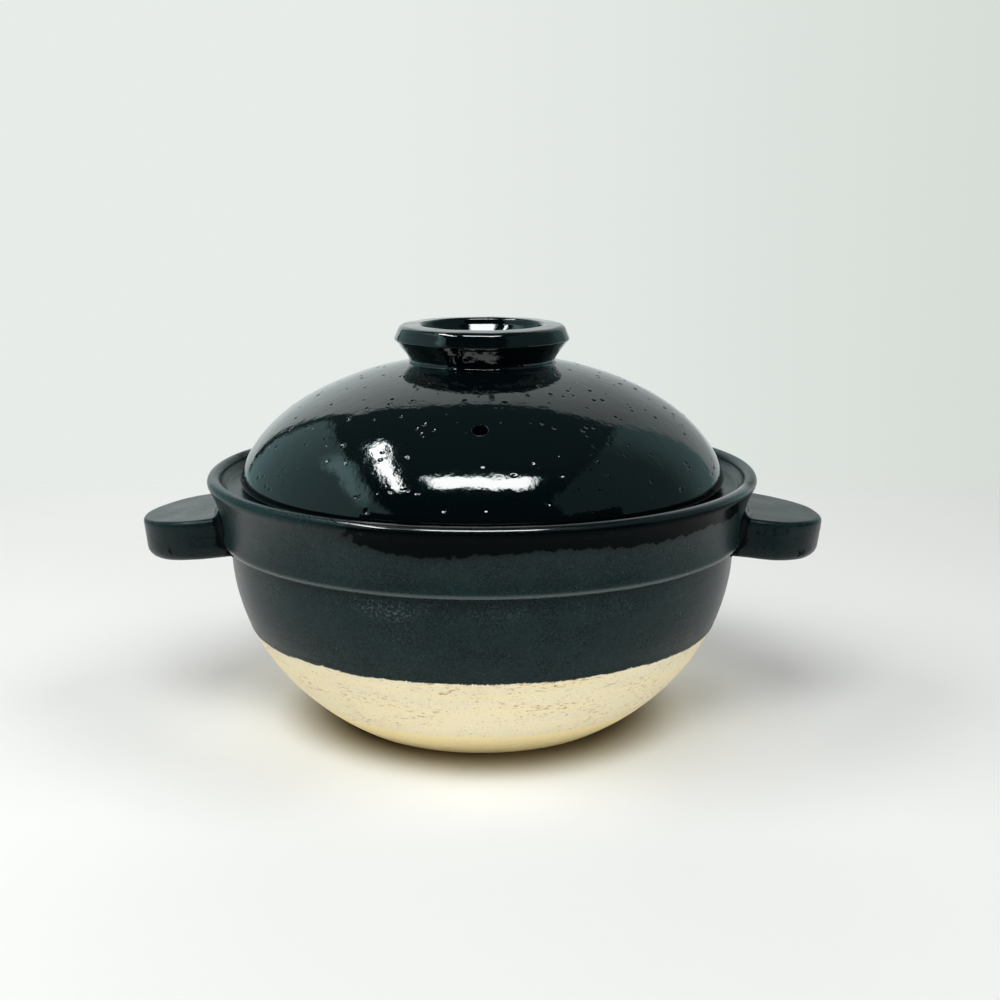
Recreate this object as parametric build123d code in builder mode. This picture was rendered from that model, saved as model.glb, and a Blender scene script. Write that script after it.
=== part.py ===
from build123d import *
import os
from math import acos, asin, cos, degrees, radians, sin, sqrt

# A thick-walled clay rice pot with two lids: a deep collared pot with a lug on each side,
# a flat inner lid low in the collar, and a domed outer lid with a steam hole and a ring knob.
# Millimetres, +Z up. The origin is on the table under the middle of the pot, +X runs to the
# right lug, and the outer lid's steam hole faces -Y.

os.makedirs("parts", exist_ok=True)

# Pot, outside
rim_radius = 120.0
lip_thickness = 5.7
rim_overhang = 5.7
collar_step = 3.9
collar_height = 30.3
collar_straight = 1.1
ridge_height = 80.5
ridge_shadow = 2.5
base_radius = 61.3
base_edge_round = 2.0

# Pot, inside
gallery_depth = 5.8
gallery_slope_run = 2.9
gallery_width = 11.4
gallery_corner_round = 1.6
inner_seat_depth = 22.5
wall_thickness = 14.5
floor_thickness = 15.0
floor_corner_round = 16.0
seat_edge_round = 1.5

# Lugs
lug_projection = 36.3
lug_round_radius = 31.0
lug_thickness = 17.8
lug_drop = 26.5
lug_droop_angle = 7.0
lug_top_round = 2.2
lug_underside_round = 5.0

# Outer lid
lid_gap = 0.3
lid_side_play = 4.4
dome_rise = 54.9
dome_sink = 5.3
dome_wall = 7.5
lid_edge_round = 3.2
steam_hole_radius = 3.0
steam_hole_distance = 79.0

# Ring knob of the outer lid
knob_rim_radius = 38.2
knob_neck_inset = 7.5
knob_under_inset = 1.7
knob_top_inset = 2.5
knob_top_width = 10.5
knob_well_taper = 3.2
knob_rise = 14.5
knob_rim_drop = 7.4
knob_bevel_height = 1.8
knob_top_round = 2.2

# Inner lid and its button knob
inner_lid_gap = 0.3
inner_lid_side_play = 0.8
inner_lid_thickness = 9.0
inner_lid_crown = 5.0
inner_lid_edge_round = 2.0
inner_vent_radius = 4.5
inner_vent_distance = 62.0
button_foot_radius = 13.5
button_waist_radius = 10.5
button_head_radius = 15.5
button_height = 15.0
button_waist_height = 6.0
button_head_round = 4.0

# Cuts run this far past what they cut
overrun = 5.0


def half_ellipse_height(semi_height, semi_width, radius):
    """Height of an ellipse above its centre at a radius."""
    return semi_height * sqrt(1 - (radius / semi_width) ** 2)


def half_ellipse_radius(semi_height, semi_width, height):
    """Radius of an ellipse at a height above or below its centre."""
    return semi_width * sqrt(1 - (height / semi_height) ** 2)


def round_corners(sketch, corners, radius):
    """Rounds the outline's corners that lie at the given points."""
    fillet([sketch.vertices().sort_by_distance(corner)[0] for corner in corners], radius)


# The bowl is an ellipse cut off flat at the base. The lip is a circle, and the flare under
# it is an arc that leaves the upright collar and ends tangent to that circle. The pot's
# profiles lie in the YZ plane, which keeps the seam of its surface away from the lugs.
pot_height = ridge_height + collar_height
collar_radius = rim_radius - rim_overhang
collar_foot_top = ridge_height + collar_step
flare_start_height = collar_foot_top + collar_straight
bowl_radius = collar_radius - collar_step
bowl_widest_height = ridge_height - ridge_shadow
bowl_drop = bowl_widest_height / sqrt(1 - (base_radius / bowl_radius) ** 2)
lip_radius = lip_thickness / 2
lip_centre_radius = rim_radius - lip_radius
lip_centre_height = pot_height - lip_radius
flare_rise = lip_centre_height - flare_start_height
flare_lean = lip_centre_radius - collar_radius
flare_radius = (flare_rise**2 + flare_lean**2 - lip_radius**2) / (2 * (lip_radius + flare_lean))
flare_angle = degrees(asin(flare_rise / (flare_radius + lip_radius)))

with BuildPart() as pot_envelope:
    with BuildSketch(Plane.YZ) as pot_outside:
        with BuildLine():
            bowl_turn = degrees(acos(base_radius / bowl_radius))
            Line((0, 0), (base_radius, 0))
            bowl = EllipticalCenterArc(
                (0, bowl_widest_height), bowl_radius, bowl_drop, -bowl_turn, arc_size=bowl_turn
            )
            Line(bowl @ 1, (bowl_radius, ridge_height))
            foot = CenterArc((bowl_radius, collar_foot_top), collar_step, -90, 90)
            Line(foot @ 1, (collar_radius, flare_start_height))
            CenterArc(
                (collar_radius + flare_radius, flare_start_height), flare_radius, 180, -flare_angle
            )
            lip = CenterArc(
                (lip_centre_radius, lip_centre_height), lip_radius, -flare_angle, 180 + flare_angle
            )
            Polyline(lip @ 1, (0, lip_centre_height), (0, 0))
        make_face()
        round_corners(pot_outside, [(base_radius, 0)], base_edge_round)
    revolve(axis=Axis.Z)

# The steps inside the rim: the lip, the gallery for the outer lid and the seat for the inner
lip_inner_radius = rim_radius - lip_thickness
gallery_radius = lip_inner_radius - gallery_slope_run
gallery_height = pot_height - gallery_depth
collar_bore_radius = gallery_radius - gallery_width
inner_seat_height = gallery_height - inner_seat_depth

# Lugs: half-moon slabs that droop a little outwards and are cut to the collar's own shape
lug_droop = radians(lug_droop_angle)
lug_reach = collar_radius + lug_projection
lug_mid_height = pot_height - lug_drop
lug_centre = lug_reach - lug_round_radius * cos(lug_droop) - lug_thickness / 2 * sin(lug_droop)
lug_root_length = lug_centre - collar_bore_radius + lug_underside_round
lug_plane = Plane(
    origin=(lug_centre, 0, lug_mid_height),
    x_dir=(cos(lug_droop), 0, -sin(lug_droop)),
    z_dir=(sin(lug_droop), 0, cos(lug_droop)),
)
lug_up = Axis(lug_plane.origin, lug_plane.z_dir)

with BuildPart() as right_handle:
    with BuildSketch(lug_plane):
        Circle(lug_round_radius)
        Rectangle(lug_root_length, 2 * lug_round_radius, align=(Align.MAX, Align.CENTER))
    extrude(amount=lug_thickness / 2, both=True)
    fillet(right_handle.faces().sort_by(lug_up)[-1].edges(), lug_top_round)
    fillet(right_handle.faces().sort_by(lug_up)[0].edges(), lug_underside_round)
    add(pot_envelope.part, mode=Mode.SUBTRACT)
right_handle.part.label = "right_handle"
export_step(right_handle.part, "parts/right_handle.step")

with BuildPart() as left_handle:
    mirror(right_handle.part, about=Plane.YZ)
left_handle.part.label = "left_handle"
export_step(left_handle.part, "parts/left_handle.step")

# Pot: the envelope with the gallery, the collar's bore, the inner seat and the cavity cut
cavity_radius = bowl_radius - wall_thickness
cavity_drop = bowl_drop - wall_thickness
cavity_floor_radius = half_ellipse_radius(
    cavity_drop, cavity_radius, bowl_widest_height - floor_thickness
)
cavity_seat_radius = half_ellipse_radius(
    cavity_drop, cavity_radius, inner_seat_height - bowl_widest_height
)

with BuildPart() as pot_body:
    add(pot_envelope.part)
    with BuildSketch(Plane.YZ) as pot_inside:
        with BuildLine():
            cavity_start = degrees(acos(cavity_floor_radius / cavity_radius))
            cavity_end = degrees(asin((inner_seat_height - bowl_widest_height) / cavity_drop))
            cavity = EllipticalCenterArc(
                (0, bowl_widest_height),
                cavity_radius,
                cavity_drop,
                -cavity_start,
                arc_size=cavity_start + cavity_end,
            )
            Polyline(
                cavity @ 1,
                (collar_bore_radius, inner_seat_height),
                (collar_bore_radius, gallery_height),
                (gallery_radius, gallery_height),
                (lip_inner_radius, lip_centre_height),
                (lip_inner_radius, pot_height + overrun),
                (0, pot_height + overrun),
                (0, floor_thickness),
                cavity @ 0,
            )
        make_face()
        round_corners(pot_inside, [(cavity_floor_radius, floor_thickness)], floor_corner_round)
        round_corners(
            pot_inside,
            [(cavity_seat_radius, inner_seat_height), (collar_bore_radius, gallery_height)],
            seat_edge_round,
        )
        round_corners(pot_inside, [(gallery_radius, gallery_height)], gallery_corner_round)
    revolve(axis=Axis.Z, mode=Mode.SUBTRACT)
pot_body.part.label = "pot_body"
export_step(pot_body.part, "parts/pot_body.step")

# Outer lid: the dome is an ellipse whose centre lies a little below the lid's foot
lid_foot_height = gallery_height + lid_gap
dome_radius = gallery_radius - lid_side_play
dome_centre_height = lid_foot_height - dome_sink
dome_height = dome_rise + dome_sink
dome_foot_radius = half_ellipse_radius(dome_height, dome_radius, dome_sink)
hollow_radius = dome_radius - dome_wall
hollow_height = dome_height - dome_wall
hollow_foot_radius = half_ellipse_radius(hollow_height, hollow_radius, dome_sink)

with BuildPart() as dome_envelope:
    with BuildSketch(Plane.XZ) as dome_outside:
        with BuildLine():
            dome_start = degrees(asin(dome_sink / dome_height))
            dome_arc = EllipticalCenterArc(
                (0, dome_centre_height),
                dome_radius,
                dome_height,
                dome_start,
                arc_size=90 - dome_start,
            )
            Polyline(dome_arc @ 1, (0, lid_foot_height), dome_arc @ 0)
        make_face()
        round_corners(dome_outside, [(dome_foot_radius, lid_foot_height)], lid_edge_round)
    revolve(axis=Axis.Z)

steam_hole_rise = half_ellipse_height(dome_height, dome_radius, steam_hole_distance)
steam_hole_plane = Plane(
    origin=(0, -steam_hole_distance, dome_centre_height + steam_hole_rise),
    z_dir=(0, -steam_hole_distance / dome_radius**2, steam_hole_rise / dome_height**2),
)

with BuildPart() as outer_lid:
    add(dome_envelope.part)
    with BuildSketch(Plane.XZ):
        with BuildLine():
            hollow_start = degrees(asin(dome_sink / hollow_height))
            hollow_arc = EllipticalCenterArc(
                (0, dome_centre_height),
                hollow_radius,
                hollow_height,
                hollow_start,
                arc_size=90 - hollow_start,
            )
            Polyline(hollow_arc @ 1, (0, lid_foot_height), hollow_arc @ 0)
        make_face()
    revolve(axis=Axis.Z, mode=Mode.SUBTRACT)
    with BuildSketch(steam_hole_plane):
        Circle(steam_hole_radius)
    extrude(amount=dome_wall + overrun, both=True, mode=Mode.SUBTRACT)
outer_lid.part.label = "outer_lid"
export_step(outer_lid.part, "parts/outer_lid.step")

# Ring knob: a flaring ring, open in the middle, standing on the crown of the dome
crown_height = lid_foot_height + dome_rise
knob_top = crown_height + knob_rise
knob_neck_radius = knob_rim_radius - knob_neck_inset
knob_under_radius = knob_rim_radius - knob_under_inset
knob_under_drop = knob_rim_drop + knob_bevel_height
knob_top_radius = knob_rim_radius - knob_top_inset
knob_mouth_radius = knob_top_radius - knob_top_width
knob_well_radius = knob_mouth_radius - knob_well_taper
knob_seat_height = dome_centre_height + half_ellipse_height(
    dome_height, dome_radius, knob_neck_radius
)

with BuildPart() as outer_lid_knob:
    with BuildSketch(Plane.XZ) as ring:
        with BuildLine():
            Polyline(
                (knob_neck_radius, lid_foot_height),
                (knob_neck_radius, knob_seat_height),
                (knob_under_radius, knob_top - knob_under_drop),
                (knob_rim_radius, knob_top - knob_rim_drop),
                (knob_top_radius, knob_top),
                (knob_mouth_radius, knob_top),
                (knob_well_radius, crown_height),
                (knob_well_radius, lid_foot_height),
                close=True,
            )
        make_face()
        round_corners(
            ring, [(knob_top_radius, knob_top), (knob_mouth_radius, knob_top)], knob_top_round
        )
    revolve(axis=Axis.Z)
    add(dome_envelope.part, mode=Mode.SUBTRACT)
outer_lid_knob.part.label = "outer_lid_knob"
export_step(outer_lid_knob.part, "parts/outer_lid_knob.step")

# Inner lid: a thick disc with a slightly crowned top and a vent on each side
inner_lid_radius = collar_bore_radius - inner_lid_side_play
inner_lid_base = inner_seat_height + inner_lid_gap
inner_lid_shoulder = inner_lid_base + inner_lid_thickness
inner_crown_height = inner_lid_shoulder + inner_lid_crown

with BuildPart() as disc_envelope:
    with BuildSketch(Plane.XZ) as disc_half:
        with BuildLine():
            crown_ball_radius = (inner_lid_radius**2 + inner_lid_crown**2) / (2 * inner_lid_crown)
            crown_arc = RadiusArc(
                (inner_lid_radius, inner_lid_shoulder), (0, inner_crown_height), -crown_ball_radius
            )
            Polyline(
                crown_arc @ 1,
                (0, inner_lid_base),
                (inner_lid_radius, inner_lid_base),
                crown_arc @ 0,
            )
        make_face()
        round_corners(
            disc_half,
            [(inner_lid_radius, inner_lid_shoulder), (inner_lid_radius, inner_lid_base)],
            inner_lid_edge_round,
        )
    revolve(axis=Axis.Z)

with BuildPart() as inner_lid:
    add(disc_envelope.part)
    with BuildSketch(Plane.XY.offset(inner_lid_base)):
        with Locations((-inner_vent_distance, 0), (inner_vent_distance, 0)):
            Circle(inner_vent_radius)
    extrude(amount=inner_lid_thickness + inner_lid_crown + overrun, mode=Mode.SUBTRACT)
inner_lid.part.label = "inner_lid"
export_step(inner_lid.part, "parts/inner_lid.step")

# Button knob of the inner lid: waisted, so that fingers can hold it under its head
button_top = inner_crown_height + button_height

with BuildPart() as inner_lid_knob:
    with BuildSketch(Plane.XZ) as button:
        with BuildLine():
            side = Spline(
                (button_foot_radius, inner_lid_base),
                (button_waist_radius, inner_crown_height + button_waist_height),
                (button_head_radius, button_top),
            )
            Polyline(side @ 1, (0, button_top), (0, inner_lid_base), side @ 0)
        make_face()
        round_corners(button, [(button_head_radius, button_top)], button_head_round)
    revolve(axis=Axis.Z)
    add(disc_envelope.part, mode=Mode.SUBTRACT)
inner_lid_knob.part.label = "inner_lid_knob"
export_step(inner_lid_knob.part, "parts/inner_lid_knob.step")
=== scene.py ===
import random
from math import asin, ceil, cos, exp, hypot, pi, radians, sin, sqrt, tan

import bmesh
import bpy
from mathutils import Matrix, Vector, kdtree, noise


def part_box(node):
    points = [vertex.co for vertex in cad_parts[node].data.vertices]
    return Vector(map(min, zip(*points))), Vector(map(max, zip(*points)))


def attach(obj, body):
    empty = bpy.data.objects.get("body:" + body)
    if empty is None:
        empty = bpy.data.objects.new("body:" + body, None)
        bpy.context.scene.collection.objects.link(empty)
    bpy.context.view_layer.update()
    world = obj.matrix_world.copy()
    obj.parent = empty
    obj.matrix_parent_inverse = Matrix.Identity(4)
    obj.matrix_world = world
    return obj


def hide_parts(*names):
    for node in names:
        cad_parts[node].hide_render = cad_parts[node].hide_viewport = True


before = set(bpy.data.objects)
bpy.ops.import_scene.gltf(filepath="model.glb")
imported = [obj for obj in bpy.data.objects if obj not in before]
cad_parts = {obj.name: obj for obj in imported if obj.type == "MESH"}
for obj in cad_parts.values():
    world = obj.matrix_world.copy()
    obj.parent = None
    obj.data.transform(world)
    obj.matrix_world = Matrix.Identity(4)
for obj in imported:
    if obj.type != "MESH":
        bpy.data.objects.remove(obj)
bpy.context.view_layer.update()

MM = 0.001
DOUBLES = 0.002 * MM  # vertices closer than this are one
HALVINGS = 50  # of an angle that is looked for
CORNER_SEGMENTS = 6
FINE_BAND = 4 * MM  # finely divided, on each side of the glaze's edge

# What is written on the meshes for the materials: how far a vertex is over the edge of the
# glaze, in millimetres, and from 0 to 1 how pooled the glaze is, which also places painted
# shade: a painted dark reflection under the lip, and painted shade in the crease and on the lugs.
GLAZE_HEIGHT = "glaze_height"
GLAZE_POOL_AND_SHADE = "glaze_pool_and_shade"
FULL_GLAZE = 10.0
THIN_GLAZE = 1.0
EDGE_SOFTNESS = 0.12

bl_info = {
    "name": "Clay Rice Pot",
    "version": (1, 0, 0),
    "blender": (4, 5, 0),
    "location": "3D View > Sidebar > Clay Pot",
    "description": "Throws, glazes and lights a clay rice pot with two lids",
    "category": "Add Mesh",
}


def length(name, description, millimetres):
    """A length property, given here in millimetres and kept in metres."""
    return bpy.props.FloatProperty(
        name=name, description=description, default=millimetres * MM, unit="LENGTH", precision=4
    )


def share(name, description, value):
    """A property from nothing to all."""
    return bpy.props.FloatProperty(
        name=name, description=description, default=value, min=0, max=1, subtype="FACTOR"
    )


def brightness(name, description, value):
    """A property for how bright a light or a reflected panel is."""
    return bpy.props.FloatProperty(name=name, description=description, default=value, min=0)


def tone(name, description, colour):
    """A colour property."""
    return bpy.props.FloatVectorProperty(
        name=name, description=description, default=colour, size=3, min=0, max=1, subtype="COLOR"
    )


POT_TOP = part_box("pot_body")[1]
LID_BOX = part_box("outer_lid")
KNOB_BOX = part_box("outer_lid_knob")
INNER_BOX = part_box("inner_lid")
BUTTON_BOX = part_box("inner_lid_knob")


class ClayPotBowl(bpy.types.PropertyGroup):
    """The thrown pot."""

    rim_radius: length("Rim radius", "Outer radius of the rim", POT_TOP.x / MM)
    height: length("Height", "Height of the pot without its lids", POT_TOP.z / MM)
    lip: length("Lip", "Thickness of the rounded lip", 5.7)
    overhang: length("Overhang", "How far the rim stands out over the collar", 5.7)
    collar_step: length("Collar step", "How far the collar stands out over the bowl", 3.9)
    collar_height: length("Collar height", "From the ridge to the rim", 30.3)
    collar_straight: length("Collar straight", "Upright part of the collar over its foot", 1.1)
    ridge_shadow: length("Ridge shadow", "Upright part of the bowl under the ridge", 2.5)
    crease_round: length("Crease rounding", "Glaze in the crease under the ridge", 0.45)
    base_radius: length("Base radius", "Radius of the flat base", 61.3)
    base_round: length("Base rounding", "Rounding of the base's edge", 9)
    gallery_depth: length("Gallery depth", "From the rim to the outer lid's ledge", 5.8)
    gallery_slope: length("Gallery slope", "Run of the slope inside the lip", 2.9)
    gallery_width: length("Gallery width", "Width of the outer lid's ledge", 11.4)
    gallery_round: length("Gallery rounding", "Rounding at the back of the ledge", 1.6)
    seat_depth: length("Seat depth", "From the outer lid's ledge to the inner lid's", 22.5)
    seat_round: length("Seat rounding", "Rounding of both ledges' edges", 1.5)
    wall: length("Wall", "Thickness of the wall", 14.5)
    floor: length("Floor", "Thickness of the floor", 15)
    floor_round: length("Floor rounding", "Rounding where the floor meets the wall", 16)
    glaze_line: length("Glaze line", "Height at which the glaze ends", 44.5)
    glaze_wander: length("Glaze wander", "How far the edge of the glaze wanders", 0.7)
    glaze_thickness: length("Glaze thickness", "Step from the bare clay up to the glaze", 0.3)
    hand_wobble: length("Hand wobble", "How far the surface strays from true", 0.16)
    steps: bpy.props.IntProperty(
        name="Steps", description="Faces round the pot", default=320, min=32
    )

    @property
    def collar(self):
        """Outer radius of the collar."""
        return self.rim_radius - self.overhang

    @property
    def bowl(self):
        """Outer radius of the bowl, at its widest."""
        return self.collar - self.collar_step

    @property
    def ridge(self):
        """Height of the ridge, at the collar's foot."""
        return self.height - self.collar_height

    @property
    def flare_start(self):
        """Height at which the collar starts to flare."""
        return self.ridge + self.collar_step + self.collar_straight


class ClayPotLugs(bpy.types.PropertyGroup):
    """The two lug handles."""

    projection: length("Projection", "Reach of a lug from the collar", 36.3)
    radius: length("Radius", "Radius of a lug seen from above", 31)
    thickness: length("Thickness", "Thickness of a lug", 17.8)
    drop: length("Drop", "From the rim to the middle of a lug", 26.5)
    droop: bpy.props.FloatProperty(
        name="Droop", description="How much a lug hangs", default=radians(7), subtype="ANGLE"
    )
    top_round: length("Top rounding", "Rounding of the upper edge", 2.2)
    under_round: length("Under rounding", "Rounding of the lower edge", 5)
    root_high: length("Root high", "Size of the root where it meets the upper collar", 3.4)
    root_low: length("Root low", "Size of the root at the ridge", 0.8)


class ClayPotLid(bpy.types.PropertyGroup):
    """The domed outer lid."""

    foot_height: length("Foot height", "Height of the lid's foot", LID_BOX[0].z / MM)
    side_play: length("Side play", "Room between the dome and the rim", 4.4)
    rise: length("Rise", "Height of the dome", (LID_BOX[1].z - LID_BOX[0].z) / MM)
    sink: length("Sink", "Height of the foot over the dome's widest circle", 5.3)
    wall: length("Wall", "Thickness of the dome", 7.5)
    edge_round: length("Edge rounding", "Rounding of the foot's outer edge", 3.2)
    foot_round: length("Foot rounding", "Rounding of the foot's inner edge", 1)
    bare_foot: length("Bare foot", "Height of the bare clay at the foot", 0.5)
    hole_radius: length("Hole radius", "Radius of the steam hole", 3)
    hole_distance: length("Hole distance", "Steam hole's distance from the axis", 79)
    hole_round: length("Hole rounding", "Rounding of the glaze at the steam hole", 0.7)
    waviness: length("Waviness", "How far the glaze strays from true", 0.15)
    pit_radius: length("Pit radius", "Radius of the largest pits in the glaze", 1.4)
    pit_depth: length("Pit depth", "Depth of the largest pits in the glaze", 0.36)
    pits: bpy.props.IntProperty(
        name="Pits", description="Number of pits in the glaze", default=320, min=0
    )
    steps: bpy.props.IntProperty(
        name="Steps", description="Faces round the lid", default=320, min=32
    )


class ClayPotKnob(bpy.types.PropertyGroup):
    """The ring knob of the outer lid."""

    rim_radius: length("Rim radius", "Radius of the knob at its widest", KNOB_BOX[1].x / MM)
    top: length("Top", "Height of the knob's top", KNOB_BOX[1].z / MM - 0.7)
    neck_inset: length("Neck inset", "From the widest radius in to the neck", 7.5)
    under_inset: length("Under inset", "From the widest radius in to the bevel's foot", 1.7)
    top_inset: length("Top inset", "From the widest radius in to the top's edge", 2.5)
    top_width: length("Top width", "Width of the top", 9.2)
    well_lip: length("Well lip", "Height of the well's upper wall", 2.8)
    well_slope: length("Well slope", "Height of the sloping wall under it", 5)
    well_taper: length("Well taper", "How much the well narrows downwards", 4.4)
    rim_drop: length("Rim drop", "From the top down to the widest circle", 6.4)
    bevel_height: length("Bevel height", "Height of the bevel under the widest circle", 1.8)
    top_round: length("Top rounding", "Rounding of the top's outer edge", 2.6)
    top_fall: length("Top fall", "How far the top falls from the mouth to its outer edge", 0.5)
    mouth_round: length("Mouth rounding", "Rounding of the mouth's edge", 1.6)
    bevel_round: length("Bevel rounding", "Rounding of the bevel's edges", 0.7)
    root_round: length("Root rounding", "Rounding where the ring meets the dome", 2.2)


class ClayPotInnerLid(bpy.types.PropertyGroup):
    """The flat inner lid and its button."""

    radius: length("Radius", "Radius of the disc", INNER_BOX[1].x / MM)
    base: length("Base", "Height of its underside", INNER_BOX[0].z / MM)
    thickness: length("Thickness", "Thickness at its edge", 9)
    crown: length("Crown", "How much higher the middle stands", 5)
    edge_round: length("Edge rounding", "Rounding of its edges", 2)
    vent_radius: length("Vent radius", "Radius of the vents", 4.5)
    vent_distance: length("Vent distance", "Vents' distance from the axis", 62)
    vent_round: length("Vent rounding", "Rounding of the glaze at the vents", 0.8)
    button_top: length("Button top", "Height of the button's top", BUTTON_BOX[1].z / MM)
    button_foot: length("Button foot", "Radius of the button's foot", 12.1)
    button_waist: length("Button waist", "Radius of the button's waist", 10.5)
    button_head: length("Button head", "Radius of the button's head", BUTTON_BOX[1].x / MM)
    waist_rise: length("Waist rise", "Height of the waist over the disc", 6)


class ClayPotFinish(bpy.types.PropertyGroup):
    """Glazes and clay."""

    lid_glaze: tone("Lid glaze", "Gloss black glaze of the outer lid", (0.0006, 0.0019, 0.0023))
    pot_glaze: tone("Pot glaze", "Satin charcoal glaze of the pot", (0.0058, 0.0168, 0.0178))
    # Also the colour of the painted dark reflection under the lip and of the painted shade in the
    # crease and on the lugs.
    pool_and_shade_glaze: tone("Pooled glaze", "Gloss black where it is thick", (0.0008, 0.002, 0.0025))
    # Also the colour of the painted highlights on the ridge's edge and along the lip.
    glaze_bloom_and_highlight: tone("Glaze bloom", "Pale bloom where the glaze is thin", (0.08, 0.11, 0.105))
    clay: tone("Clay", "Bare fired clay", (0.88, 0.81, 0.61))
    clay_toast: tone("Toasted clay", "Lower band of the clay", (0.98, 0.84, 0.48))
    clay_scar: tone("Clay scars", "Pits and drag marks of the clay", (0.5, 0.31, 0.1))
    lid_roughness: share("Lid roughness", "Roughness of the gloss glaze", 0.055)
    pot_roughness: share("Pot roughness", "Roughness of the satin glaze", 0.29)
    pool_roughness: share("Pool roughness", "Roughness where the glaze has pooled", 0.13)
    clay_roughness: share("Clay roughness", "Roughness of the bare clay", 0.9)


class ClayPotStage(bpy.types.PropertyGroup):
    """Floor, backdrop, lamps and camera."""

    floor: tone("Floor", "Pale floor", (0.81, 0.825, 0.81))
    wall_left: tone("Backdrop left", "Backdrop on the left", (0.80, 0.84, 0.81))
    wall_right: tone("Backdrop right", "Backdrop on the right", (0.67, 0.715, 0.67))
    sky: brightness("Sky", "Light from all round", 0.04)
    overhead: brightness("Overhead", "Power of the lamp over the pot", 6.0)
    camera_side: brightness("Camera side", "Power of the lamp above the camera", 4.6)
    left: brightness("Left", "Power of the lamp on the left", 8.6)
    right: brightness("Right", "Power of the lamp on the right", 7.0)
    back: brightness("Back", "Power of the low lamp behind", 11.0)
    front: brightness("Front", "Power of the low lamp in front", 4.0)
    panel: brightness("Panel", "Brightness of the overhead panels in reflections", 24)
    camera_place: bpy.props.FloatVectorProperty(
        name="Camera place",
        description="Where the camera stands",
        default=(0.00778, -0.68396, 0.24421),
        size=3,
        unit="LENGTH",
    )
    camera_dip: bpy.props.FloatProperty(
        name="Camera dip", description="How far it looks down", default=0.2141, subtype="ANGLE"
    )
    lens: bpy.props.FloatProperty(
        name="Lens", description="Focal length in millimetres", default=56.7, min=1
    )


class Outline:
    """A profile drawn point by point, x being the radius and z the height, and then turned."""

    def __init__(self, radius, height):
        self.mesh = bmesh.new()
        self.tip = self.mesh.verts.new((radius, 0, height))
        self.corners = []

    def line(self, radius, height, rounding=0.0):
        """Draws a straight run to a point, whose corner is rounded later."""
        made = bmesh.ops.extrude_vert_indiv(self.mesh, verts=[self.tip])
        self.tip = made["verts"][0]
        self.tip.co = (radius, 0, height)
        self.round(rounding)

    def round(self, rounding):
        """Marks the last point as a corner to round."""
        if rounding:
            self.corners.append((self.tip, rounding))

    def arc(self, radius, height, turn, steps, flatness=1.0):
        """Draws an arc round a centre, anticlockwise for a positive turn in radians.

        A flatness other than 1 makes it part of an ellipse: its height over its width."""
        centre = Vector((radius, 0, height))
        before = set(self.mesh.verts) - {self.tip}
        self.tip.co.z = height + (self.tip.co.z - height) / flatness
        spun = bmesh.ops.spin(
            self.mesh,
            geom=[self.tip],
            cent=centre,
            axis=(0, -1, 0),
            dvec=(0, 0, 0),
            angle=turn,
            steps=steps,
        )
        self.tip = next(item for item in spun["geom_last"] if isinstance(item, bmesh.types.BMVert))
        bmesh.ops.scale(
            self.mesh,
            vec=(1, 1, flatness),
            space=Matrix.Translation(-centre),
            verts=[vert for vert in self.mesh.verts if vert not in before],
        )

    def close(self, first):
        """Joins the last point to the first."""
        self.mesh.edges.new((self.tip, first))

    def profile(self, row):
        """Rounds the corners and divides every run into rows no longer than the given one."""
        for corner, rounding in self.corners:
            one, other = (edge.other_vert(corner).co - corner.co for edge in corner.link_edges)
            bmesh.ops.bevel(
                self.mesh,
                geom=[corner],
                offset=rounding / tan(one.angle(other) / 2),
                segments=CORNER_SEGMENTS,
                profile=0.5,
                material=-1,
                affect="VERTICES",
            )
        for edge in list(self.mesh.edges):
            cuts = ceil(edge.calc_length() / row) - 1
            if cuts > 0:
                bmesh.ops.subdivide_edges(self.mesh, edges=[edge], cuts=cuts)
        return self.mesh

    def turned(self, steps, row):
        """The profile turned once round the axis, as a closed skin that faces outwards."""
        mesh = self.profile(row)
        spin(mesh, 2 * pi, steps, whole=True)
        settle(mesh)
        return mesh


def spin(mesh, turn, steps, whole):
    """Turns everything in the mesh round the upright axis."""
    bmesh.ops.spin(
        mesh,
        geom=mesh.verts[:] + mesh.edges[:],
        cent=(0, 0, 0),
        axis=(0, 0, 1),
        dvec=(0, 0, 0),
        angle=turn,
        steps=steps,
        use_merge=whole,
    )


def merge_doubles(mesh):
    """Merges the vertices that lie on one spot."""
    bmesh.ops.remove_doubles(mesh, verts=mesh.verts, dist=DOUBLES)


def settle(mesh):
    """Merges doubles and turns the faces outwards."""
    merge_doubles(mesh)
    bmesh.ops.recalc_face_normals(mesh, faces=mesh.faces)
    mesh.normal_update()


def ease(value, low, high):
    """Smooth step from 0 at low to 1 at high."""
    part = min(max((value - low) / (high - low), 0), 1)
    return part * part * (3 - 2 * part)


def displace(mesh, move, verts=None):
    """Moves vertices, once the move of each has been worked out."""
    mesh.normal_update()
    moves = [(vert, move(vert)) for vert in (mesh.verts if verts is None else verts)]
    for vert, way in moves:
        vert.co += way
    mesh.normal_update()


def waver(mesh, depth, wavelength, shift, wanted=lambda point: True):
    """Strays the surface from true by slow waves, as a hand-made one does."""
    offset = Vector((shift, 0, 0))

    def stray(vert):
        return vert.normal * noise.noise(vert.co / wavelength + offset) * depth

    displace(mesh, stray, [vert for vert in mesh.verts if wanted(vert.co)])


def inset_turn(half_width, half_height, inset, height):
    """Angle on an ellipse at which the point that lies inset inside it has the given height.

    Both the angle and the height are taken from the ellipse's centre, upwards."""
    low, high = 0.0, pi / 2
    for _ in range(HALVINGS):
        middle = (low + high) / 2
        slope = Vector((cos(middle) / half_width, sin(middle) / half_height)).normalized()
        if half_height * sin(middle) - inset * slope.y < height:
            low = middle
        else:
            high = middle
    return low


def ellipse_lean(half_width, half_height, turn):
    """Angle over the horizontal of an ellipse's normal."""
    return Vector((cos(turn) / half_width, sin(turn) / half_height)).angle(Vector((1, 0)))


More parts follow.
